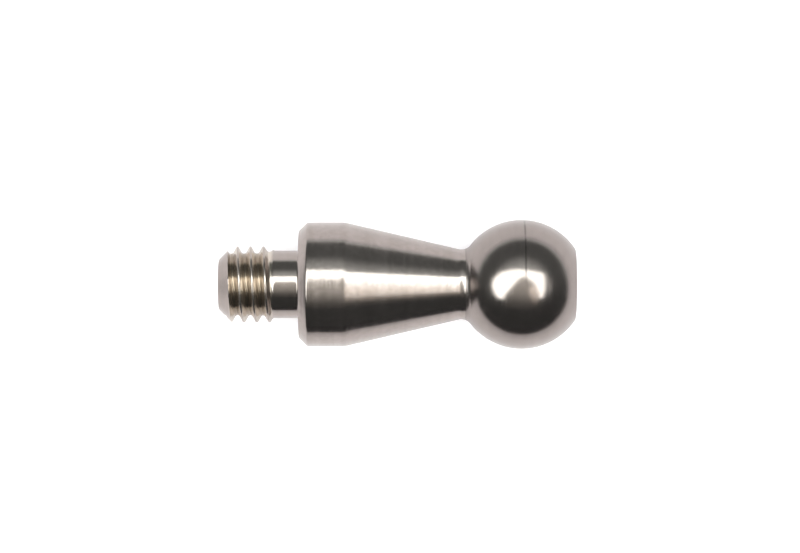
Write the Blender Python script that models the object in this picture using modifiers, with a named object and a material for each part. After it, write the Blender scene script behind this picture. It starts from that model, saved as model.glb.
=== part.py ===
"""Ball stud: a threaded stud that holds a tapered body and a ball head on its core.

The assembly lies along X, with its thread towards -X and its ball towards +X.
The origin is on the axis, in the plane of the seat face. Each piece is turned
upright about its own Z axis, and an empty lays them all down together.
Run with: blender --background --python part.py
"""

import math

import bmesh
import bpy
from mathutils import Vector

MM = 0.001
TAU = math.tau

# Heights are measured along the axis from the seat face, positive towards the ball.

# Threaded end: metric M6 x 1, right-hand, external tolerance 6g.
PITCH = 1.0 * MM
MAJOR_RADIUS = 2.95 * MM
ROOT_RADIUS = 2.40 * MM
CREST_EDGE = 1 / 16
ROOT_EDGE = 3 / 8
FLANK_ROWS = 3
TIP_HEIGHT = -6.20 * MM
TIP_RADIUS = 1.94 * MM
FIRST_CREST = 0.20 * MM
ROOT_FADES_FROM = -2.85 * MM
CREST_FADES_FROM = -2.22 * MM
THREAD_END = -1.88 * MM

# Plain shank above the thread, the shoulder let into the body, and the core.
SHANK_RADIUS = 2.62 * MM
SHANK_FILLET = 0.12 * MM
SHOULDER_RADIUS = 3.50 * MM
SHOULDER_THICKNESS = 1.00 * MM
CORE_RADIUS = 1.50 * MM
CORE_END = 16.30 * MM
CORE_CHAMFER = 0.25 * MM

# Tapered body: seat chamfer, round collar and cone.
SEAT_CHAMFER = 0.66 * MM
COLLAR_RADIUS = 4.80 * MM
COLLAR_END = 3.55 * MM
COLLAR_EDGE_ROUND = 2.0 * MM
CONE_HALF_ANGLE = math.radians(13.15)

# Ball head: neck fillet, ball, end flat and hexagon socket.
NECK_HEIGHT = 12.92 * MM
NECK_FILLET = 0.90 * MM
BALL_RADIUS = 5.00 * MM
BALL_CENTRE = 17.25 * MM
END_FLAT = 21.45 * MM
END_EDGE_ROUND = 0.40 * MM
SOCKET_ACROSS_FLATS = 3.0 * MM
SOCKET_DEPTH = 3.0 * MM
SOCKET_MOUTH_RADIUS = 1.90 * MM
SOCKET_DRILL_RADIUS = 1.40 * MM
DRILL_POINT_HALF_ANGLE = math.radians(59)

# Clearances between the pieces: a hairline where a seam shows, more where it is hidden.
SEAM_GAP = 0.05 * MM
HIDDEN_GAP = 0.30 * MM

# How far a cutter reaches past the face that it cuts.
CUT_OVERLAP = 0.05 * MM

# Mesh fineness.
ROUND_STEPS = 48
ARC_STEP = math.radians(7.5)
WELD_DISTANCE = 0.001 * MM
SHARP_ANGLE = math.radians(25)

# Plain steel colours: base colour, roughness.
SHANK_STEEL = ((0.60, 0.57, 0.54), 0.15)
BODY_STEEL = ((0.58, 0.55, 0.52), 0.30)
BALL_STEEL = ((0.62, 0.60, 0.57), 0.12)


def new_collection(name):
    """Add a collection to the scene."""
    collection = bpy.data.collections.new(name)
    bpy.context.scene.collection.children.link(collection)
    return collection


def steel(name, look):
    """Make one plain steel material."""
    colour, roughness = look
    material = bpy.data.materials.new(name)
    material.use_nodes = True
    shader = material.node_tree.nodes["Principled BSDF"]
    shader.inputs["Base Color"].default_value = (*colour, 1.0)
    shader.inputs["Metallic"].default_value = 1.0
    shader.inputs["Roughness"].default_value = roughness
    return material


def on_arc(centre, radius, angle):
    """A point (radius, height) on an arc; the angle is measured from straight up."""
    return Vector((centre[0] + radius * math.sin(angle), centre[1] + radius * math.cos(angle)))


def arc(centre, radius, start, end):
    """Points along an arc of a turned profile, both ends included."""
    steps = max(2, math.ceil(abs(end - start) / ARC_STEP))
    return [on_arc(centre, radius, start + (end - start) * i / steps) for i in range(steps + 1)]


def ramp(value, start, end):
    """0 before start, 1 after end, straight between."""
    return min(1.0, max(0.0, (value - start) / (end - start)))


def neck_fillet_centre():
    """Centre of the fillet that touches the cone on one side and the ball on the other."""
    outward = Vector((math.cos(CONE_HALF_ANGLE), math.sin(CONE_HALF_ANGLE)))
    along = Vector((-math.sin(CONE_HALF_ANGLE), math.cos(CONE_HALF_ANGLE)))
    from_ball = Vector((COLLAR_RADIUS, COLLAR_END - BALL_CENTRE)) + NECK_FILLET * outward
    reach = BALL_RADIUS + NECK_FILLET
    distance = -from_ball.dot(along) - math.sqrt(
        from_ball.dot(along) ** 2 - from_ball.length_squared + reach ** 2
    )
    return Vector((0.0, BALL_CENTRE)) + from_ball + distance * along


def fillet_angle_at(height):
    """Angle on the neck fillet at a height."""
    centre = neck_fillet_centre()
    return -math.acos((height - centre[1]) / NECK_FILLET)


def end_edge_centre():
    """Centre of the small round between the ball and its end flat."""
    above_ball = END_FLAT - BALL_CENTRE - END_EDGE_ROUND
    inside = BALL_RADIUS - END_EDGE_ROUND
    return Vector((math.sqrt(inside ** 2 - above_ball ** 2), BALL_CENTRE + above_ball))


def body_profile():
    """Closed outline of the bored body, down its outer side and up through the bore."""
    bore = CORE_RADIUS + HIDDEN_GAP
    recess = SHOULDER_RADIUS + SEAM_GAP
    edge_centre = (
        COLLAR_RADIUS - COLLAR_EDGE_ROUND,
        COLLAR_END - COLLAR_EDGE_ROUND * math.tan(CONE_HALF_ANGLE / 2),
    )
    upright = math.radians(90)
    outline = [Vector((bore, NECK_HEIGHT))]
    outline += arc(
        neck_fillet_centre(), NECK_FILLET, fillet_angle_at(NECK_HEIGHT), -upright - CONE_HALF_ANGLE
    )
    outline += arc(edge_centre, COLLAR_EDGE_ROUND, upright - CONE_HALF_ANGLE, upright)
    outline += [
        Vector((COLLAR_RADIUS, SEAT_CHAMFER)),
        Vector((COLLAR_RADIUS - SEAT_CHAMFER, 0.0)),
        Vector((recess, 0.0)),
        Vector((recess, SHOULDER_THICKNESS + HIDDEN_GAP)),
        Vector((bore, SHOULDER_THICKNESS + HIDDEN_GAP)),
    ]
    return outline


def ball_profile():
    """Outline of the ball head from the middle of its end flat to the end of its blind bore."""
    ball_centre = Vector((0.0, BALL_CENTRE))
    edge_centre = end_edge_centre()
    fillet_centre = neck_fillet_centre()
    to_edge = edge_centre - ball_centre
    to_fillet = fillet_centre - ball_centre
    edge_angle = math.atan2(to_edge[0], to_edge[1])
    neck_angle = math.atan2(to_fillet[0], to_fillet[1])
    neck_face = NECK_HEIGHT + SEAM_GAP
    bore = CORE_RADIUS + HIDDEN_GAP
    bore_end = CORE_END + HIDDEN_GAP
    outline = [Vector((0.0, END_FLAT))]
    outline += arc(edge_centre, END_EDGE_ROUND, 0.0, edge_angle)
    outline += arc(ball_centre, BALL_RADIUS, edge_angle, neck_angle)[1:]
    outline += arc(
        fillet_centre, NECK_FILLET, neck_angle - math.pi, fillet_angle_at(neck_face)
    )[1:]
    outline += [
        Vector((bore, neck_face)),
        Vector((bore, bore_end)),
        Vector((0.0, bore_end)),
    ]
    return outline


def stud_profile():
    """Outline of the stud from the end of its core down to where its thread begins."""
    outline = [
        Vector((0.0, CORE_END)),
        Vector((CORE_RADIUS - CORE_CHAMFER, CORE_END)),
        Vector((CORE_RADIUS, CORE_END - CORE_CHAMFER)),
        Vector((CORE_RADIUS, SHOULDER_THICKNESS)),
        Vector((SHOULDER_RADIUS, SHOULDER_THICKNESS)),
        Vector((SHOULDER_RADIUS, 0.0)),
    ]
    fillet_centre = (SHANK_RADIUS + SHANK_FILLET, -SHANK_FILLET)
    outline += arc(fillet_centre, SHANK_FILLET, 0.0, -math.radians(90))
    outline.append(Vector((SHANK_RADIUS, THREAD_END)))
    return outline


def thread_radius(height, angle):
    """Radius of the threaded end at a height and an angle round the axis."""
    turns = (height - TIP_HEIGHT - FIRST_CREST) / PITCH - angle / TAU
    from_crest = abs(turns - round(turns))
    flank = 1.0 - ramp(from_crest, CREST_EDGE, ROOT_EDGE)
    crest = MAJOR_RADIUS
    crest += (SHANK_RADIUS - MAJOR_RADIUS) * ramp(height, CREST_FADES_FROM, THREAD_END)
    root = ROOT_RADIUS
    root += (SHANK_RADIUS - ROOT_RADIUS) * ramp(height, ROOT_FADES_FROM, THREAD_END)
    tip_chamfer = TIP_RADIUS + (height - TIP_HEIGHT)
    return min(tip_chamfer, root + flank * (crest - root))


def thread_rows():
    """Places of the rows of one pitch, in pitches: crest edge to crest edge by way of the root."""
    flank = [CREST_EDGE + (ROOT_EDGE - CREST_EDGE) * i / FLANK_ROWS for i in range(FLANK_ROWS + 1)]
    return flank + [1.0 - place for place in reversed(flank)]


def add_thread(mesh):
    """Wrap a flat grid into the threaded end, its rows along the helix."""
    places = thread_rows()
    first = TIP_HEIGHT + FIRST_CREST - 2 * PITCH
    pitches = math.ceil((THREAD_END - first) / PITCH) + 1
    rows = pitches * len(places)
    grid = bmesh.ops.create_grid(mesh, x_segments=rows, y_segments=ROUND_STEPS, size=0.5)
    for vert in grid["verts"]:
        row = round((vert.co.x + 0.5) * rows)
        angle = TAU * round((vert.co.y + 0.5) * ROUND_STEPS) / ROUND_STEPS
        pitch_number, place = divmod(row, len(places))
        height = first + PITCH * (pitch_number + places[place] + angle / TAU)
        height = min(THREAD_END, max(TIP_HEIGHT, height))
        radius = thread_radius(height, angle)
        vert.co = (radius * math.cos(angle), radius * math.sin(angle), height)


def draw_profile(mesh, outline, closed):
    """Draw an outline as vertices and edges in the XZ plane."""
    verts = [mesh.verts.new((point[0], 0.0, point[1])) for point in outline]
    edges = [mesh.edges.new(pair) for pair in zip(verts, verts[1:])]
    if closed:
        edges.append(mesh.edges.new((verts[-1], verts[0])))
    return verts + edges


def new_object(name, bmesh_data, collection, material=None):
    """Turn a bmesh into an object in a collection."""
    mesh = bpy.data.meshes.new(name)
    bmesh_data.to_mesh(mesh)
    bmesh_data.free()
    if material:
        mesh.materials.append(material)
    obj = bpy.data.objects.new(name, mesh)
    collection.objects.link(obj)
    return obj


def turned_piece(name, outline, closed, collection, material):
    """Make a piece from its outline with a Screw modifier."""
    mesh = bmesh.new()
    draw_profile(mesh, outline, closed)
    obj = new_object(name, mesh, collection, material)
    screw = obj.modifiers.new("Turning", "SCREW")
    screw.axis = "Z"
    screw.angle = TAU
    screw.steps = ROUND_STEPS
    screw.render_steps = ROUND_STEPS
    screw.use_merge_vertices = True
    screw.merge_threshold = WELD_DISTANCE
    return obj


def cutter(name, segments, bottom_radius, top_radius, bottom, top, collection):
    """Make an upright cone or prism that cuts another piece."""
    mesh = bmesh.new()
    bmesh.ops.create_cone(
        mesh,
        cap_ends=True,
        segments=segments,
        radius1=bottom_radius,
        radius2=top_radius,
        depth=top - bottom,
    )
    bmesh.ops.translate(mesh, verts=mesh.verts, vec=(0.0, 0.0, (top + bottom) / 2))
    obj = new_object(name, mesh, collection)
    obj.hide_render = True
    obj.display_type = "WIRE"
    return obj


def cut(piece, tool):
    """Subtract a cutter from a piece."""
    boolean = piece.modifiers.new(tool.name, "BOOLEAN")
    boolean.operation = "DIFFERENCE"
    boolean.solver = "EXACT"
    boolean.object = tool


def shade_round(piece):
    """Apply the modifiers, then shade the round faces smooth and leave real edges sharp."""
    evaluated = piece.evaluated_get(bpy.context.evaluated_depsgraph_get())
    mesh = bpy.data.meshes.new_from_object(evaluated)
    piece.modifiers.clear()
    piece.data = mesh
    mesh.shade_smooth()
    mesh.set_sharp_from_angle(angle=SHARP_ANGLE)


def threaded_stud(collection):
    """Stud: thread, plain shank, shoulder and the core that the other two pieces sit on."""
    mesh = bmesh.new()
    profile = draw_profile(mesh, stud_profile(), closed=False)
    bmesh.ops.spin(
        mesh, geom=profile, cent=(0, 0, 0), axis=(0, 0, 1), angle=TAU, steps=ROUND_STEPS,
        use_merge=True,
    )
    add_thread(mesh)
    bmesh.ops.remove_doubles(mesh, verts=mesh.verts, dist=WELD_DISTANCE)
    bmesh.ops.holes_fill(mesh, edges=mesh.edges, sides=0)
    bmesh.ops.recalc_face_normals(mesh, faces=mesh.faces)
    return new_object("threaded_stud", mesh, collection, steel("shank_steel", SHANK_STEEL))


def tapered_body(collection):
    """Body: the collar that seats on the mating part, and the cone up to the neck."""
    return turned_piece(
        "tapered_body", body_profile(), True, collection, steel("body_steel", BODY_STEEL)
    )


def ball_head(collection, cutters):
    """Ball head: ball, neck fillet, end flat and the hexagon socket in it."""
    head = turned_piece(
        "ball_head", ball_profile(), False, collection, steel("ball_steel", BALL_STEEL)
    )
    corner_radius = SOCKET_ACROSS_FLATS / math.sqrt(3)
    socket_floor = END_FLAT - SOCKET_DEPTH
    drill_point = SOCKET_DRILL_RADIUS / math.tan(DRILL_POINT_HALF_ANGLE)
    mouth_depth = SOCKET_MOUTH_RADIUS - corner_radius
    cut(head, cutter("socket_hexagon", 6, corner_radius, corner_radius,
                     socket_floor, END_FLAT + CUT_OVERLAP, cutters))
    cut(head, cutter("socket_mouth", ROUND_STEPS, corner_radius, SOCKET_MOUTH_RADIUS + CUT_OVERLAP,
                     END_FLAT - mouth_depth, END_FLAT + CUT_OVERLAP, cutters))
    cut(head, cutter("socket_drill_point", ROUND_STEPS, 0.0, SOCKET_DRILL_RADIUS,
                     socket_floor + CUT_OVERLAP - drill_point, socket_floor + CUT_OVERLAP, cutters))
    return head


def build():
    """Build the whole ball stud."""
    for obj in list(bpy.data.objects):
        bpy.data.objects.remove(obj)
    parts = new_collection("ball_stud")
    cutters = new_collection("cutters")
    axis_frame = bpy.data.objects.new("axis_frame", None)
    axis_frame.rotation_euler = (0.0, math.radians(90), 0.0)
    parts.objects.link(axis_frame)
    pieces = [threaded_stud(parts), tapered_body(parts), ball_head(parts, cutters)]
    for piece in pieces:
        shade_round(piece)
        piece.parent = axis_frame


build()
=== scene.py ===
import math

import bmesh
import bpy
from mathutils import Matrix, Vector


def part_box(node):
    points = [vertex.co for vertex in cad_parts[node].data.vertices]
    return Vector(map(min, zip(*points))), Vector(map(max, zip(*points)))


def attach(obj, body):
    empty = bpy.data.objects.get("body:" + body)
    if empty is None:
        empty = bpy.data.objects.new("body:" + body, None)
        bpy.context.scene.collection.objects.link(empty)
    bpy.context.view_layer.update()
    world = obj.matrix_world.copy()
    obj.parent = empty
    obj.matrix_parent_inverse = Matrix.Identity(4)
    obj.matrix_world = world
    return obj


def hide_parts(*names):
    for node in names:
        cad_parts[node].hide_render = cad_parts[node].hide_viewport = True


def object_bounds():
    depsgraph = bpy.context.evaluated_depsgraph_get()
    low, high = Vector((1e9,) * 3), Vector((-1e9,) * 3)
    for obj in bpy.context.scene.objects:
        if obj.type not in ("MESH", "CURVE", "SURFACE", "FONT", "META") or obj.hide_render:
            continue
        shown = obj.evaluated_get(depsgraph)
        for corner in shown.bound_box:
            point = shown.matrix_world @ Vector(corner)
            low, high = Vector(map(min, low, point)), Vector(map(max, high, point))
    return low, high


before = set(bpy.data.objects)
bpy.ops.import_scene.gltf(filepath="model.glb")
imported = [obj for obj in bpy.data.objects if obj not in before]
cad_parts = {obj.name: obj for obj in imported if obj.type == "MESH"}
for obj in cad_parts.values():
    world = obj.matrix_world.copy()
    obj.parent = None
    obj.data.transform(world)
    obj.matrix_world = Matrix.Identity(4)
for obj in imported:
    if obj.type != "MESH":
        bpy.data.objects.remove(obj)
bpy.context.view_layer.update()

# ------------------------------------------------------------------ threaded stud
# The stud is cold-headed stainless bar, rolled M6 x 1 right-hand on its lower end.
# Above the thread it is a plain, bright shank. Its shoulder sits flush in the body's
# seat face, and a slim core runs on up through the body into the ball.
mm = 0.001
quarter_turn = math.radians(90)
stud_low, stud_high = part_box("threaded_stud")
tip_x = stud_low[0]
core_end_x = stud_high[0]
shoulder_radius = stud_high[2]
core_radius = 1.5 * mm
shoulder_thickness = 1.0 * mm
shoulder_edge = 0.05 * mm
shank_radius = 2.62 * mm
shank_fillet = 0.12 * mm
pitch = 1.0 * mm
crest_radius = 2.95 * mm
root_radius = 2.40 * mm
crest_flat = pitch / 8
root_flat = pitch / 4
tip_radius = 1.94 * mm
tip_edge = 0.06 * mm
crest_above_axis_x = tip_x + 0.70 * mm
root_fades_from_x = -2.85 * mm
crest_fades_from_x = -2.22 * mm
thread_end_x = -1.88 * mm
core_chamfer = 0.25 * mm
tip_fan_radius = 0.2 * mm
crest_corner = 0.03 * mm
root_round = 0.11 * mm
smooth_below = math.radians(28)
round_steps = 192
weld = 0.0005 * mm


def edit_new(name):
    """Name the primitive just added, bake its place into its mesh and open it for editing."""
    piece = bpy.context.object
    piece.name = name
    piece.data.name = name
    bpy.ops.object.transform_apply(location=True, rotation=True, scale=True)
    bpy.ops.object.mode_set(mode="EDIT")
    return piece


def arc(centre, radius, start, end, steps):
    """Places (x, radius) along an arc, the start left out; the angle is taken from +X."""
    angles = [start + (end - start) * i / steps for i in range(1, steps + 1)]
    return [(centre[0] + radius * math.cos(a), centre[1] + radius * math.sin(a)) for a in angles]


def straight(start, end, steps):
    """Places (x, radius) along a straight run, the start left out."""
    return [
        (start[0] + (end[0] - start[0]) * i / steps, start[1] + (end[1] - start[1]) * i / steps)
        for i in range(1, steps + 1)
    ]


def draw_rim(start, places):
    """Extrude the selected rim, which is at start, from place to place along the axis."""
    x, radius = start
    for next_x, next_radius in places:
        bpy.ops.mesh.extrude_region_move(TRANSFORM_OT_translate={"value": (next_x - x, 0, 0)})
        growth = next_radius / radius
        bpy.ops.transform.resize(value=(1, growth, growth), center_override=(next_x, 0, 0))
        x, radius = next_x, next_radius


def close_rim():
    """Close the selected rim with a flat fan of faces round the axis."""
    bpy.ops.mesh.extrude_region_move(TRANSFORM_OT_translate={"value": (0, 0, 0)})
    bpy.ops.mesh.merge(type="CENTER")


def select_where(piece, test):
    """Select the vertices whose place passes a test, and the edges and faces between them."""
    bpy.ops.mesh.select_all(action="DESELECT")
    bpy.ops.mesh.select_mode(type="VERT")
    mesh = bmesh.from_edit_mesh(piece.data)
    for vert in mesh.verts:
        vert.select = test(vert.co)
    mesh.select_flush(True)
    bmesh.update_edit_mesh(piece.data)


def finish_piece(piece):
    """Weld the mesh, point its faces outwards and shade it smooth between its real edges."""
    bpy.ops.mesh.select_all(action="SELECT")
    bpy.ops.mesh.remove_doubles(threshold=weld)
    bpy.ops.mesh.normals_make_consistent(inside=False)
    bpy.ops.object.mode_set(mode="OBJECT")
    bpy.ops.object.shade_smooth_by_angle(angle=smooth_below)


def ramp(value, start, end):
    """0 before start, 1 after end, straight between."""
    return min(1.0, max(0.0, (value - start) / (end - start)))


def thread_limits(x):
    """Lowest and highest radius that the rolled thread can have at a place on the axis."""
    root_fade = ramp(x, root_fades_from_x, thread_end_x)
    crest_fade = ramp(x, crest_fades_from_x, thread_end_x)
    root = root_radius + (shank_radius - root_radius) * root_fade
    crest = crest_radius + (shank_radius - crest_radius) * crest_fade
    return root, crest


def roll_in_ends(piece):
    """Chamfer the thread's tip and let its grooves run out into the plain shank."""
    mesh = bmesh.from_edit_mesh(piece.data)
    for vert in mesh.verts:
        radius = math.hypot(vert.co.y, vert.co.z)
        root, crest = thread_limits(vert.co.x)
        height = (radius - root_radius) / (crest_radius - root_radius)
        chamfer = max(tip_radius / 2, tip_radius + vert.co.x - tip_x)
        growth = min(root + height * (crest - root), chamfer) / radius
        vert.co.yz = (vert.co.y * growth, vert.co.z * growth)
    bmesh.update_edit_mesh(piece.data)
    for end_x, outwards in ((tip_x + tip_edge, -1), (thread_end_x, 1)):
        bpy.ops.mesh.select_all(action="SELECT")
        bpy.ops.mesh.bisect(
            plane_co=(end_x, 0, 0), plane_no=(outwards, 0, 0), clear_outer=True, threshold=weld
        )
    bpy.ops.mesh.select_all(action="SELECT")
    bpy.ops.mesh.remove_doubles(threshold=weld)
    mesh = bmesh.from_edit_mesh(piece.data)
    for vert in mesh.verts:
        if vert.is_boundary:
            at_tip = vert.co.x < (tip_x + thread_end_x) / 2
            rim_radius = tip_radius + tip_edge if at_tip else shank_radius
            growth = rim_radius / math.hypot(vert.co.y, vert.co.z)
            rim_x = tip_x + tip_edge if at_tip else thread_end_x
            vert.co = (rim_x, vert.co.y * growth, vert.co.z * growth)
    bmesh.update_edit_mesh(piece.data)


# One pitch of the thread form is drawn as a line above the axis, root to root, with its
# crest's corners just broken and its root rounded, and is wound into a helix.
bpy.ops.object.select_all(action="DESELECT")
turns = math.ceil((thread_end_x - tip_x) / pitch) + 3
form_start_x = crest_above_axis_x - 2.5 * pitch
bpy.ops.mesh.primitive_plane_add(size=pitch, location=(form_start_x, 0, root_radius))
stud = edit_new("threaded_stud_metal")
bpy.ops.mesh.select_all(action="SELECT")
bpy.ops.mesh.merge(type="CENTER")
flank_run = (pitch - crest_flat - root_flat) / 2
for run, rise in (
    (root_flat / 2, 0),
    (flank_run, crest_radius - root_radius),
    (crest_flat, 0),
    (flank_run, root_radius - crest_radius),
    (root_flat / 2, 0),
):
    bpy.ops.mesh.extrude_region_move(TRANSFORM_OT_translate={"value": (run, 0, rise)})
form_middle_x = form_start_x + pitch / 2
select_where(stud, lambda co: co.z > crest_radius - weld)
bpy.ops.mesh.bevel(offset=crest_corner, segments=2, affect="VERTICES")
select_where(stud, lambda co: (
    co.z < root_radius + weld and weld < abs(co.x - form_middle_x) < pitch / 2 - weld
))
bpy.ops.mesh.bevel(offset=root_round, segments=4, affect="VERTICES")
mesh = bmesh.from_edit_mesh(stud.data)
long_flanks = [e for e in mesh.edges if e.calc_length() > 0.2 * mm]
bmesh.ops.subdivide_edges(mesh, edges=long_flanks, cuts=7)
bmesh.update_edit_mesh(stud.data)
bpy.ops.object.mode_set(mode="OBJECT")
winding = stud.modifiers.new("Winding", "SCREW")
winding.axis = "X"
winding.angle = math.tau
winding.screw_offset = pitch
winding.iterations = turns
winding.steps = round_steps
winding.render_steps = round_steps
bpy.ops.object.modifier_apply(modifier=winding.name)
bpy.ops.object.mode_set(mode="EDIT")
roll_in_ends(stud)

# Its tip is faced flat with the edge just broken.
tip_edge_start = (tip_x + tip_edge, tip_radius + tip_edge)
select_where(stud, lambda co: co.x < tip_edge_start[0] + weld)
tip_face = [
    (tip_x + 0.35 * tip_edge, tip_radius + 0.25 * tip_edge),
    (tip_x + 0.10 * tip_edge, tip_radius - 0.20 * tip_edge),
    (tip_x, tip_radius - 0.70 * tip_edge),
]
tip_face += straight(tip_face[-1], (tip_x, tip_fan_radius), 6)
draw_rim(tip_edge_start, tip_face)
close_rim()

# The other way the same bar goes on as shank, seat fillet, shoulder and core.
select_where(stud, lambda co: co.x > thread_end_x - weld)
shank = straight((thread_end_x, shank_radius), (-shank_fillet, shank_radius), 12)
fillet = arc((-shank_fillet, shank_radius + shank_fillet), shank_fillet, -quarter_turn, 0, 10)
inside_edge = shoulder_radius - shoulder_edge
shoulder = straight((0, shank_radius + shank_fillet), (0, inside_edge), 4)
shoulder += arc(
    (shoulder_edge, inside_edge), shoulder_edge, 2 * quarter_turn, quarter_turn, 4
)
shoulder += straight(
    (shoulder_edge, shoulder_radius), (shoulder_thickness, shoulder_radius), 4
)
core = [
    (shoulder_thickness, core_radius),
    (core_end_x - core_chamfer, core_radius),
    (core_end_x, core_radius - core_chamfer),
]
draw_rim((thread_end_x, shank_radius), shank + fillet + shoulder + core)
close_rim()
finish_piece(stud)


# Steel that has been rolled, turned or polished round an axis keeps fine marks round it and
# slow changes of tone. The marks run round X; they wander a little on their way round.
def new_group(name, inputs, outputs):
    """Make a shader node group with float inputs and outputs."""
    group = bpy.data.node_groups.new(name, "ShaderNodeTree")
    for label, value in inputs.items():
        socket = group.interface.new_socket(label, in_out="INPUT", socket_type="NodeSocketFloat")
        socket.default_value = value
    for label in outputs:
        group.interface.new_socket(label, in_out="OUTPUT", socket_type="NodeSocketFloat")
    return group


def math_node(tree, operation, *values):
    """Add a Math node on values or sockets and return its output."""
    node = tree.nodes.new("ShaderNodeMath")
    node.operation = operation
    for socket, value in zip(node.inputs, values):
        if isinstance(value, (int, float)):
            socket.default_value = value
        else:
            tree.links.new(value, socket)
    return node.outputs[0]


def map_range(tree, value, from_min, from_max, to_min, to_max):
    """Map a socket's range onto another, smoothly and held at the ends."""
    node = tree.nodes.new("ShaderNodeMapRange")
    node.interpolation_type = "SMOOTHSTEP"
    for label, number in (
        ("From Min", from_min), ("From Max", from_max), ("To Min", to_min), ("To Max", to_max)
    ):
        if isinstance(number, (int, float)):
            node.inputs[label].default_value = number
        else:
            tree.links.new(number, node.inputs[label])
    tree.links.new(value, node.inputs["Value"])
    return node.outputs[0]


def place_on_piece(tree):
    """Return the X, Y and Z sockets of a point's place, in metres."""
    place = tree.nodes.new("ShaderNodeTexCoord")
    split = tree.nodes.new("ShaderNodeSeparateXYZ")
    tree.links.new(place.outputs["Object"], split.inputs[0])
    return split.outputs["X"], split.outputs["Y"], split.outputs["Z"]


def noise_on(tree, x, y, z, detail):
    """Noise on three coordinate sockets, one unit to a feature."""
    stretched = tree.nodes.new("ShaderNodeCombineXYZ")
    for socket, value in zip(stretched.inputs, (x, y, z)):
        tree.links.new(value, socket)
    noise = tree.nodes.new("ShaderNodeTexNoise")
    noise.inputs["Scale"].default_value = 1.0
    noise.inputs["Detail"].default_value = detail
    tree.links.new(stretched.outputs[0], noise.inputs["Vector"])
    return noise.outputs["Fac"]


turning = new_group(
    "turning_marks",
    {"Marks per metre": 9000.0, "Wander": 0.06, "Patches per metre": 700.0},
    ("Marks", "Bands", "Patches"),
)
group_in = turning.nodes.new("NodeGroupInput").outputs
group_out = turning.nodes.new("NodeGroupOutput").inputs
x, y, z = place_on_piece(turning)
round_scale = math_node(turning, "MULTIPLY", group_in["Marks per metre"], group_in["Wander"])
marks = noise_on(
    turning,
    math_node(turning, "MULTIPLY", x, group_in["Marks per metre"]),
    math_node(turning, "MULTIPLY", y, round_scale),
    math_node(turning, "MULTIPLY", z, round_scale),
    2.0,
)
bands = noise_on(
    turning,
    math_node(turning, "MULTIPLY", x, 1600.0),
    math_node(turning, "MULTIPLY", y, 60.0),
    math_node(turning, "MULTIPLY", z, 60.0),
    3.0,
)
patches = noise_on(
    turning,
    *(math_node(turning, "MULTIPLY", axis, group_in["Patches per metre"]) for axis in (x, y, z)),
    4.0,
)
for label, socket in (("Marks", marks), ("Bands", bands), ("Patches", patches)):
    turning.links.new(socket, group_out[label])


def mix_colour(tree, share, first, second):
    """Mix two colours, or a colour socket and a colour, by a share."""
    mix = tree.nodes.new("ShaderNodeMix")
    mix.data_type = "RGBA"
    tree.links.new(share, mix.inputs["Factor"])
    for socket, colour in ((mix.inputs["A"], first), (mix.inputs["B"], second)):
        if isinstance(colour, tuple):
            socket.default_value = (*colour, 1)
        else:
            tree.links.new(colour, socket)
    return mix.outputs["Result"]


def steel(name, colours, roughness, anisotropic, per_metre, depths):
    """Make steel that is worked round its axis.

    It takes two tones, a range of roughness, and for the marks and for the slower patches
    their number per metre and their depth.
    """
    material = bpy.data.materials.new(name)
    material.use_nodes = True
    tree = material.node_tree
    shader = tree.nodes["Principled BSDF"]
    shader.inputs["Metallic"].default_value = 1.0
    shader.inputs["Anisotropic"].default_value = anisotropic
    shader.inputs["Anisotropic Rotation"].default_value = 0.25
    turned = tree.nodes.new("ShaderNodeGroup")
    turned.name = "turning"
    turned.node_tree = turning
    turned.inputs["Marks per metre"].default_value = per_metre[0]
    turned.inputs["Patches per metre"].default_value = per_metre[1]
    tone = math_node(tree, "MULTIPLY_ADD", turned.outputs["Bands"], 0.5, math_node(
        tree, "MULTIPLY", turned.outputs["Patches"], 0.5
    ))
    tone = map_range(tree, tone, 0.35, 0.65, 0.0, 1.0)
    tree.links.new(mix_colour(tree, tone, *colours), shader.inputs["Base Color"])
    finish = map_range(tree, turned.outputs["Marks"], 0.3, 0.7, *roughness)
    tree.links.new(finish, shader.inputs["Roughness"])
    bump = tree.nodes.new("ShaderNodeBump")
    bump.inputs["Strength"].default_value = 1.0
    bump.inputs["Distance"].default_value = depths[0]
    rippled = math_node(
        tree,
        "MULTIPLY_ADD",
        turned.outputs["Patches"],
        depths[1] / depths[0],
        turned.outputs["Marks"],
    )
    tree.links.new(rippled, bump.inputs["Height"])
    tree.links.new(bump.outputs["Normal"], shader.inputs["Normal"])
    tangent = tree.nodes.new("ShaderNodeTangent")
    tangent.direction_type = "RADIAL"
    tangent.axis = "X"
    tree.links.new(tangent.outputs[0], shader.inputs["Tangent"])
    return material


def tint(material, share, colour):
    """Lay a colour over a material's own, by a share that changes over the surface."""
    tree = material.node_tree
    base = tree.nodes["Principled BSDF"].inputs["Base Color"]
    tree.links.new(mix_colour(tree, share, base.links[0].from_socket, colour), base)


def tint_finish(material, share, roughness):
    """Bring a material's roughness to a value, by a share that changes over the surface."""
    tree = material.node_tree
    finish = tree.nodes["Principled BSDF"].inputs["Roughness"]
    own = finish.links[0].from_socket
    change = math_node(tree, "MULTIPLY", share, math_node(tree, "SUBTRACT", roughness, own))
    tree.links.new(math_node(tree, "ADD", own, change), finish)


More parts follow.
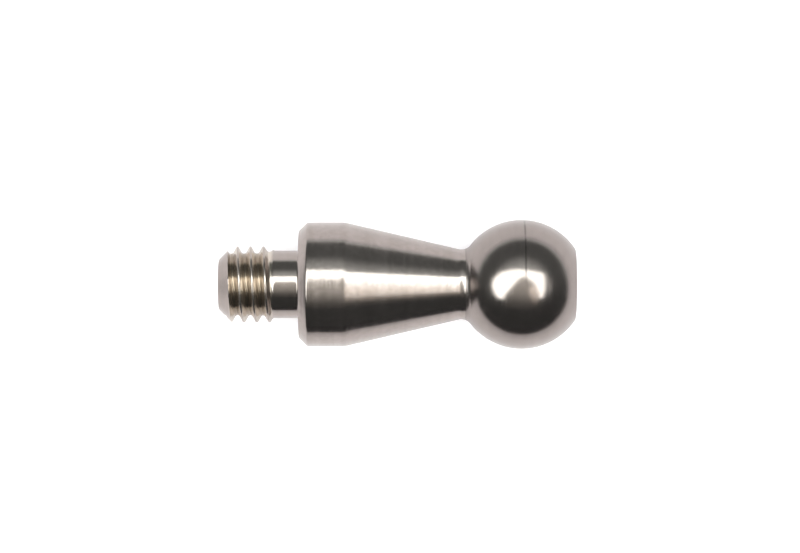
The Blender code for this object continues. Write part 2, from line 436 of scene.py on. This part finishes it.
# The rolled end is bright. The dies have burnished the thread itself brighter still, and
# light that goes from flank to flank comes out of the grooves straw-coloured. The roots are
# painted darker and warmer: painted shade in the grooves.
rolled_steel = steel(
    "bright_rolled_steel",
    ((0.370, 0.328, 0.315), (0.345, 0.305, 0.290)),
    (0.13, 0.18),
    0.4,
    (7000.0, 2200.0),
    (0.0004 * mm, 0.0018 * mm),
)
tree = rolled_steel.node_tree
x, y, z = place_on_piece(tree)
from_axis = math_node(tree, "SQRT", math_node(
    tree, "MULTIPLY_ADD", y, y, math_node(tree, "MULTIPLY", z, z)
))
past_chamfer = map_range(tree, x, tip_x + 0.75 * mm, tip_x + 1.05 * mm, 0.0, 1.0)
in_thread = math_node(tree, "MULTIPLY", past_chamfer, map_range(
    tree, x, crest_fades_from_x, thread_end_x, 1.0, 0.0
))
below_crest = map_range(
    tree, from_axis, crest_radius - 0.05 * mm, crest_radius - 0.01 * mm, 1.0, 0.25
)
tint(rolled_steel, math_node(tree, "MULTIPLY", in_thread, below_crest), (0.585, 0.525, 0.465))
tint_finish(rolled_steel, in_thread, 0.23)
# Painted shade: the thread's roots are painted a dark, warm brown.
painted_root_shade = map_range(tree, from_axis, root_radius + 0.02 * mm, root_radius + 0.10 * mm, 0.9, 0.0)
tint(rolled_steel, math_node(tree, "MULTIPLY", painted_root_shade, in_thread), (0.22, 0.172, 0.128))
stud.data.materials.append(rolled_steel)

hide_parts("threaded_stud")
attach(stud, "root")

# ------------------------------------------------------------------ tapered body
# The body is turned from stainless bar and bored for the stud's core: a round collar
# with a chamfered seat, and a straight cone up to the neck. It is left as it comes from
# the lathe, satin, with fine marks round it.
body_low, body_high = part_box("tapered_body")
seat_x = body_low[0]
neck_x = body_high[0]
collar_radius = body_high[2]
seat_chamfer = 0.66 * mm
collar_end_x = 3.55 * mm
collar_edge_round = 2.0 * mm
cone_angle = math.radians(13.15)
seam_gap = 0.05 * mm
hidden_gap = 0.3 * mm
recess_radius = shoulder_radius + seam_gap
recess_depth = shoulder_thickness + hidden_gap
bore_radius = core_radius + hidden_gap
neck_edge = 0.012 * mm
mouth_edge = 0.03 * mm
ball_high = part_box("ball_head")[1]
ball_radius = ball_high[2]
ball_x = 17.25 * mm
neck_fillet = 0.90 * mm


def neck_fillet_centre():
    """Centre (x, radius) of the fillet that touches the cone and the ball."""
    offset_x = collar_end_x + neck_fillet * math.sin(cone_angle) - ball_x
    offset_radius = collar_radius + neck_fillet * math.cos(cone_angle)
    along = offset_x * math.cos(cone_angle) - offset_radius * math.sin(cone_angle)
    reach = ball_radius + neck_fillet
    gap = reach ** 2 - offset_x ** 2 - offset_radius ** 2
    distance = -along - math.sqrt(along ** 2 + gap)
    return (
        ball_x + offset_x + distance * math.cos(cone_angle),
        offset_radius - distance * math.sin(cone_angle),
    )


def soften_edges(piece, rims, width, segments):
    """Break the sharp edges that run round the axis at the given (x, radius) places."""
    for rim_x, rim_radius in rims:
        select_where(piece, lambda co: (
            abs(co.x - rim_x) < weld * 4 and abs(math.hypot(co.y, co.z) - rim_radius) < weld * 4
        ))
        bpy.ops.mesh.bevel(offset=width, segments=segments, affect="EDGES")


fillet_x, fillet_radius = neck_fillet_centre()
cone_touch = -quarter_turn - cone_angle
body_edge_angle = -math.acos((neck_x - fillet_x) / neck_fillet)
edge_x = collar_end_x - collar_edge_round * math.tan(cone_angle / 2)
edge_centre = (edge_x, collar_radius - collar_edge_round)
neck_rim = arc((fillet_x, fillet_radius), neck_fillet, 0, body_edge_angle, 1)[0]
cone_end = arc((fillet_x, fillet_radius), neck_fillet, 0, cone_touch, 1)[0]
cone_start = arc(edge_centre, collar_edge_round, 0, quarter_turn - cone_angle, 1)[0]

bpy.ops.object.select_all(action="DESELECT")
bpy.ops.mesh.primitive_circle_add(
    vertices=round_steps,
    radius=bore_radius,
    location=(neck_x, 0, 0),
    rotation=(0, quarter_turn, 0),
)
body = edit_new("tapered_body_metal")
bpy.ops.mesh.select_all(action="SELECT")
outline = straight((neck_x, bore_radius), neck_rim, 3)
outline += arc((fillet_x, fillet_radius), neck_fillet, body_edge_angle, cone_touch, 8)
outline += straight(cone_end, cone_start, 40)
outline += arc(edge_centre, collar_edge_round, quarter_turn - cone_angle, quarter_turn, 6)
outline += straight((edge_x, collar_radius), (seat_chamfer, collar_radius), 14)
outline += straight((seat_chamfer, collar_radius), (seat_x, collar_radius - seat_chamfer), 3)
outline += straight((seat_x, collar_radius - seat_chamfer), (seat_x, recess_radius), 3)
outline += [
    (recess_depth, recess_radius),
    (recess_depth, bore_radius),
    (neck_x, bore_radius),
]
draw_rim((neck_x, bore_radius), outline)
bpy.ops.mesh.select_all(action="SELECT")
bpy.ops.mesh.remove_doubles(threshold=weld)
soften_edges(body, [(seat_x, recess_radius)], mouth_edge, 3)
soften_edges(body, [neck_rim], neck_edge, 3)
soften_edges(
    body, [(seat_chamfer, collar_radius), (seat_x, collar_radius - seat_chamfer)], 0.07 * mm, 4
)
finish_piece(body)

satin_steel = steel(
    "satin_turned_steel",
    ((0.385, 0.341, 0.328), (0.330, 0.292, 0.278)),
    (0.17, 0.23),
    0.78,
    (6500.0, 2500.0),
    (0.0010 * mm, 0.0030 * mm),
)
body.data.materials.append(satin_steel)
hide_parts("tapered_body")
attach(body, "root")

# ------------------------------------------------------------------ ball head
# The ball is turned in two cuts, which leave a fine line round it a little past its
# middle, and polished. Its end is parted off flat and has a hexagon socket broached in
# it; on the other side it runs into its neck with a small fillet.
end_x = ball_high[0]
ball_seam_x = 17.45 * mm
seam_width = 0.10 * mm
end_edge_round = 0.40 * mm
neck_face_x = neck_x + 0.01 * mm
bore_end_x = core_end_x + hidden_gap
socket_apothem = 1.5 * mm
socket_mouth_radius = 1.9 * mm
socket_floor_x = end_x - 3.0 * mm
drill_radius = 1.4 * mm
drill_point = drill_radius / math.tan(math.radians(59))
groove_share = 0.9995

ball_touch = math.atan2(fillet_radius, fillet_x - ball_x)
ball_rim = (ball_x + ball_radius * math.cos(ball_touch), ball_radius * math.sin(ball_touch))
head_edge_angle = -math.acos((neck_face_x - fillet_x) / neck_fillet)
head_rim = arc((fillet_x, fillet_radius), neck_fillet, 0, head_edge_angle, 1)[0]
end_centre_x = end_x - end_edge_round
end_centre_radius = math.sqrt(
    (ball_radius - end_edge_round) ** 2 - (end_centre_x - ball_x) ** 2
)
end_touch = math.atan2(end_centre_radius, end_centre_x - ball_x)
end_rim = (ball_x + ball_radius * math.cos(end_touch), ball_radius * math.sin(end_touch))

bpy.ops.object.select_all(action="DESELECT")
bpy.ops.mesh.primitive_uv_sphere_add(
    segments=round_steps,
    ring_count=96,
    radius=ball_radius,
    location=(ball_x, 0, 0),
    rotation=(0, quarter_turn, 0),
)
ball = edit_new("ball_head_metal")
for cut_x, past_cut in ((ball_rim[0], -1), (end_rim[0], 1)):
    bpy.ops.mesh.select_all(action="SELECT")
    bpy.ops.mesh.bisect(
        plane_co=(cut_x, 0, 0), plane_no=(past_cut, 0, 0), clear_outer=True, threshold=weld
    )
bpy.ops.mesh.select_all(action="SELECT")
bpy.ops.mesh.bisect(plane_co=(ball_seam_x, 0, 0), plane_no=(1, 0, 0), threshold=weld)

# The line where the two cuts meet: a groove a few thousandths of a millimetre deep.
bpy.ops.mesh.bevel(offset=seam_width / 2, segments=2, affect="EDGES")
select_where(ball, lambda co: abs(co.x - ball_seam_x) < weld * 4)
bpy.ops.transform.resize(
    value=(1, groove_share, groove_share), center_override=(ball_seam_x, 0, 0)
)

# The neck: fillet, end face and the blind bore for the core.
select_where(ball, lambda co: co.x < ball_rim[0] + weld)
neck = arc(
    (fillet_x, fillet_radius), neck_fillet, ball_touch - math.pi, head_edge_angle, 12
)
neck += straight(head_rim, (neck_face_x, bore_radius), 2)
neck.append((bore_end_x, bore_radius))
draw_rim(ball_rim, neck)
close_rim()

# The end: a small round, the flat, and the socket's countersunk mouth.
select_where(ball, lambda co: co.x > end_rim[0] - weld)
end = arc((end_centre_x, end_centre_radius), end_edge_round, end_touch, 0, 8)
end += straight((end_x, end_centre_radius), (end_x, socket_mouth_radius), 4)
draw_rim(end_rim, end)


def to_hexagon(piece, x_at):
    """Move the selected rim onto the socket's hexagon; x_at gives x for a radius there."""
    mesh = bmesh.from_edit_mesh(piece.data)
    for vert in mesh.verts:
        if vert.select:
            angle = math.atan2(vert.co.z, vert.co.y)
            from_flat = (angle + math.radians(30)) % math.radians(60) - math.radians(30)
            radius = socket_apothem / math.cos(from_flat)
            vert.co = (x_at(radius), radius * math.cos(angle), radius * math.sin(angle))
    bmesh.update_edit_mesh(piece.data)


bpy.ops.mesh.extrude_region_move(TRANSFORM_OT_translate={"value": (0, 0, 0)})
to_hexagon(ball, lambda radius: end_x - (socket_mouth_radius - radius))
bpy.ops.mesh.extrude_region_move(TRANSFORM_OT_translate={"value": (0, 0, 0)})
to_hexagon(ball, lambda radius: socket_floor_x)
bpy.ops.mesh.extrude_region_move(TRANSFORM_OT_translate={"value": (0, 0, 0)})
mesh = bmesh.from_edit_mesh(ball.data)
for vert in mesh.verts:
    if vert.select:
        angle = math.atan2(vert.co.z, vert.co.y)
        vert.co.yz = (drill_radius * math.cos(angle), drill_radius * math.sin(angle))
bmesh.update_edit_mesh(ball.data)
draw_rim((socket_floor_x, drill_radius), [(socket_floor_x - drill_point, 0.01 * mm)])
close_rim()
soften_edges(ball, [(end_x, socket_mouth_radius)], mouth_edge, 3)
soften_edges(ball, [head_rim], neck_edge, 3)
finish_piece(ball)

# The line between the two cuts is tinted dark, unevenly round it: strongly on the +Y side,
# hardly at all towards -Y.
polished_steel = steel(
    "polished_turned_steel",
    ((0.322, 0.285, 0.274), (0.300, 0.265, 0.254)),
    (0.16, 0.20),
    0.3,
    (9000.0, 1500.0),
    (0.0003 * mm, 0.0008 * mm),
)
tree = polished_steel.node_tree
x, y = place_on_piece(tree)[:2]
from_seam = math_node(tree, "ABSOLUTE", math_node(tree, "SUBTRACT", x, ball_seam_x))
in_seam = map_range(tree, from_seam, 0.3 * seam_width, 1.0 * seam_width, 1.0, 0.0)
patches = tree.nodes["turning"].outputs["Patches"]
uneven = map_range(tree, patches, 0.35, 0.65, 0.55, 1.0)
seam_dark_share = math_node(tree, "MULTIPLY", uneven, map_range(
    tree, y, -0.02 * ball_radius, 0.2 * ball_radius, 0.04, 0.60
))
tint(polished_steel, math_node(tree, "MULTIPLY", in_seam, seam_dark_share), (0.08, 0.072, 0.068))

# Close to the neck the polishing belt doesn't reach, and the steel stays duller.
unpolished = map_range(tree, x, neck_face_x + 0.2 * mm, neck_face_x + 1.2 * mm, 1.0, 0.0)
tint_finish(polished_steel, unpolished, 0.27)
ball.data.materials.append(polished_steel)
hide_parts("ball_head")
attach(ball, "root")

# ------------------------------------------------------------------ table, light and camera
# The stud lies on a plain white sheet that runs on out of sight. A wide soft light hangs
# above it, with the dark shape of whoever stands at the table in front of it, and the
# rest of the room is dim. Only the sheet and a plain pale backdrop are seen directly; the
# light and the cards show in the steel alone, which also sees the light a little brighter.
lowest_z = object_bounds()[0][2]
black = (0.02, 0.02, 0.02)


def plain_material(name, colour):
    """A plain matt material."""
    material = bpy.data.materials.new(name)
    material.use_nodes = True
    shader = material.node_tree.nodes["Principled BSDF"]
    shader.inputs["Base Color"].default_value = (*colour, 1)
    shader.inputs["Roughness"].default_value = 0.9
    shader.inputs["Specular IOR Level"].default_value = 0.1
    return material


def glow(material, colour, strength):
    """Make a material give off light; the strength is a number or a socket."""
    shader = material.node_tree.nodes["Principled BSDF"]
    shader.inputs["Emission Color"].default_value = (*colour, 1)
    if isinstance(strength, (int, float)):
        shader.inputs["Emission Strength"].default_value = strength
    else:
        material.node_tree.links.new(strength, shader.inputs["Emission Strength"])
    return material


def out_of_sight(card, lights_table):
    """Mark a card as part of the stage that only the steel, and perhaps the table, sees."""
    card.visible_camera = False
    card.visible_shadow = False
    card.visible_diffuse = lights_table


bpy.ops.mesh.primitive_plane_add(size=6.0, location=(0, 0, lowest_z))
sheet = bpy.context.object
sheet.name = "white_sheet"
white_paper = plain_material("white_paper", (0.72, 0.72, 0.72))
tree = white_paper.node_tree
light_path = tree.nodes.new("ShaderNodeLightPath")
glow(
    white_paper,
    (0.98, 0.97, 1.0),
    math_node(tree, "MULTIPLY", light_path.outputs["Is Camera Ray"], 0.45),
)
# Painted shadow: the sheet's colour darkens from 8 mm to 40 mm out on the -Y side.
painted_sheet_shadow = map_range(tree, place_on_piece(tree)[1], -40 * mm, -8 * mm, 1.0, 0.0)
tree.links.new(
    mix_colour(tree, painted_sheet_shadow, (0.75, 0.72, 0.735), (0.48, 0.46, 0.47)),
    tree.nodes["Principled BSDF"].inputs["Base Color"],
)
sheet.data.materials.append(white_paper)

light_height = 300 * mm


def flat_card(name, corners, height, material, lights_table=False):
    """A flat card above the table; its corners are given as shares of its height."""
    bpy.ops.object.select_all(action="DESELECT")
    bpy.ops.mesh.primitive_circle_add(
        vertices=len(corners), radius=1, fill_type="NGON", location=(0, 0, 0)
    )
    card = bpy.context.object
    card.name = name
    for vert, corner in zip(card.data.vertices, corners):
        vert.co = (ball_x + corner[0] * height, corner[1] * height, height)
    card.data.materials.append(material)
    out_of_sight(card, lights_table)


light_cloth = plain_material("light_cloth", (0.8, 0.8, 0.8))
tree = light_cloth.node_tree
light_path = tree.nodes.new("ShaderNodeLightPath")
glow(
    light_cloth,
    (0.96, 1.0, 0.94),
    math_node(tree, "MULTIPLY_ADD", light_path.outputs["Is Glossy Ray"], 0.9, 3.3),
)
flat_card(
    "soft_light",
    [
        (-1.02, -0.60), (0.80, -0.50), (0.87, -0.20), (0.86, 0.25), (0.80, 0.43), (0.30, 0.46),
        (-0.15, 0.51), (-0.84, 0.49), (-1.21, 0.33), (-1.42, 0.06), (-1.43, -0.12),
        (-1.28, -0.42),
    ],
    light_height,
    light_cloth,
    lights_table=True,
)

# The onlooker card glows with painted light, lighter towards its head and shoulders, as if lit
# from the top down.
onlooker_painted_light = plain_material("onlooker_painted_light", black)
tree = onlooker_painted_light.node_tree
shoulder_y = 0.20 * light_height
far_y = -0.80 * light_height
glow(
    onlooker_painted_light,
    (1.0, 0.98, 0.88),
    map_range(tree, place_on_piece(tree)[1], far_y, shoulder_y, 0.10, 0.95),
)
onlooker_height = 0.97 * light_height
flat_card(
    "onlooker",
    [
        (-0.78, -0.95), (-0.76, -0.62), (-0.60, -0.36), (-0.40, -0.14), (-0.20, 0.07),
        (-0.04, 0.21), (0.06, 0.26), (0.18, 0.19), (0.37, 0.04), (0.50, -0.12), (0.59, -0.28),
        (0.63, -0.48), (0.67, -0.95),
    ],
    onlooker_height,
    onlooker_painted_light,
)

# A lighter, warmer sleeve hangs just below it; its glow is painted light, brightest at its near
# end.
sleeve_painted_light = plain_material("sleeve_painted_light", black)
tree = sleeve_painted_light.node_tree
sleeve_far_y = -0.75 * light_height
sleeve_near_y = -0.10 * light_height
glow(
    sleeve_painted_light,
    (1.0, 0.93, 0.81),
    map_range(tree, place_on_piece(tree)[1], sleeve_far_y, sleeve_near_y, 0.25, 2.2),
)
sleeve_height = 0.95 * light_height
flat_card(
    "sleeve",
    [
        (0.22, -0.14), (0.36, 0.0), (0.49, -0.12), (0.59, -0.28), (0.63, -0.48),
        (0.66, -0.75), (0.42, -0.75), (0.28, -0.42),
    ],
    sleeve_height,
    sleeve_painted_light,
)

window_glow = glow(plain_material("window_glow", black), (1.0, 0.97, 0.92), 0.7)
flat_card(
    "window",
    [(1.14, -0.30), (1.32, -0.30), (1.32, 0.22), (1.14, 0.22)],
    light_height,
    window_glow,
)

# A low dark card at the table's edge stands in for shade on the far part of the sheet, and hides
# that part from the steel: painted shade.
table_edge_y = -45 * mm
far_shade_card_width = 360 * mm
far_shade_card_drop = 12 * mm
bpy.ops.object.select_all(action="DESELECT")
bpy.ops.mesh.primitive_plane_add(
    size=1,
    location=(ball_x, table_edge_y, lowest_z + far_shade_card_drop / 2),
    rotation=(quarter_turn, 0, 0),
)
far_shade_card = bpy.context.object
far_shade_card.name = "far_shade_card"
bpy.ops.transform.resize(value=(far_shade_card_width, 1, far_shade_card_drop))
far_shade_card.data.materials.append(
    glow(plain_material("far_shade_card_cloth", black), (1.0, 1.0, 1.0), 0.03)
)
out_of_sight(far_shade_card, False)

room = bpy.data.worlds.new("room")
bpy.context.scene.world = room
room.use_nodes = True
tree = room.node_tree
tree.nodes.clear()
direction = tree.nodes.new("ShaderNodeTexCoord")
split = tree.nodes.new("ShaderNodeSeparateXYZ")
tree.links.new(direction.outputs["Generated"], split.inputs[0])
far_side, up = split.outputs["Y"], split.outputs["Z"]
walls = map_range(tree, far_side, -0.7, 0.8, 0.07, 0.18)
ceiling = math_node(
    tree,
    "MULTIPLY",
    map_range(tree, up, 0.55, 0.90, 0.0, 0.7),
    map_range(tree, far_side, -0.55, -0.25, 0.0, 1.0),
)
low_glow = math_node(
    tree,
    "MULTIPLY",
    map_range(tree, up, -0.02, 0.14, 1.0, 0.0),
    map_range(tree, far_side, -0.2, 0.3, 0.0, 1.0),
)
dim_room = tree.nodes.new("ShaderNodeBackground")
dim_room.inputs["Color"].default_value = (0.94, 1.0, 0.96, 1)
tree.links.new(
    math_node(tree, "ADD", math_node(tree, "ADD", walls, ceiling), low_glow),
    dim_room.inputs["Strength"],
)
pale_room = tree.nodes.new("ShaderNodeBackground")
pale_room.inputs["Color"].default_value = (0.98, 0.98, 1.0, 1)
pale_room.inputs["Strength"].default_value = 0.6
seen = tree.nodes.new("ShaderNodeBackground")
seen.inputs["Color"].default_value = (0.97, 0.97, 0.98, 1)
seen.inputs["Strength"].default_value = 1.1
light_path = tree.nodes.new("ShaderNodeLightPath")
in_steel = tree.nodes.new("ShaderNodeMixShader")
tree.links.new(light_path.outputs["Is Glossy Ray"], in_steel.inputs["Fac"])
tree.links.new(pale_room.outputs[0], in_steel.inputs[1])
tree.links.new(dim_room.outputs[0], in_steel.inputs[2])
in_view = tree.nodes.new("ShaderNodeMixShader")
tree.links.new(light_path.outputs["Is Camera Ray"], in_view.inputs["Fac"])
tree.links.new(in_steel.outputs[0], in_view.inputs[1])
tree.links.new(seen.outputs[0], in_view.inputs[2])
world_out = tree.nodes.new("ShaderNodeOutputWorld")
tree.links.new(in_view.outputs[0], world_out.inputs["Surface"])

view_width = 62.02 * mm
view_centre = (7.84 * mm, 0.61 * mm)
camera_data = bpy.data.cameras.new("camera")
camera_data.lens = 160
camera_data.sensor_width = 36
camera_data.clip_start = 0.01
camera_data.clip_end = 10
camera = bpy.data.objects.new("camera", camera_data)
camera.location = (*view_centre, view_width * camera_data.lens / camera_data.sensor_width)
bpy.context.scene.collection.objects.link(camera)
bpy.context.scene.camera = camera
bpy.context.scene.view_settings.view_transform = "Standard"
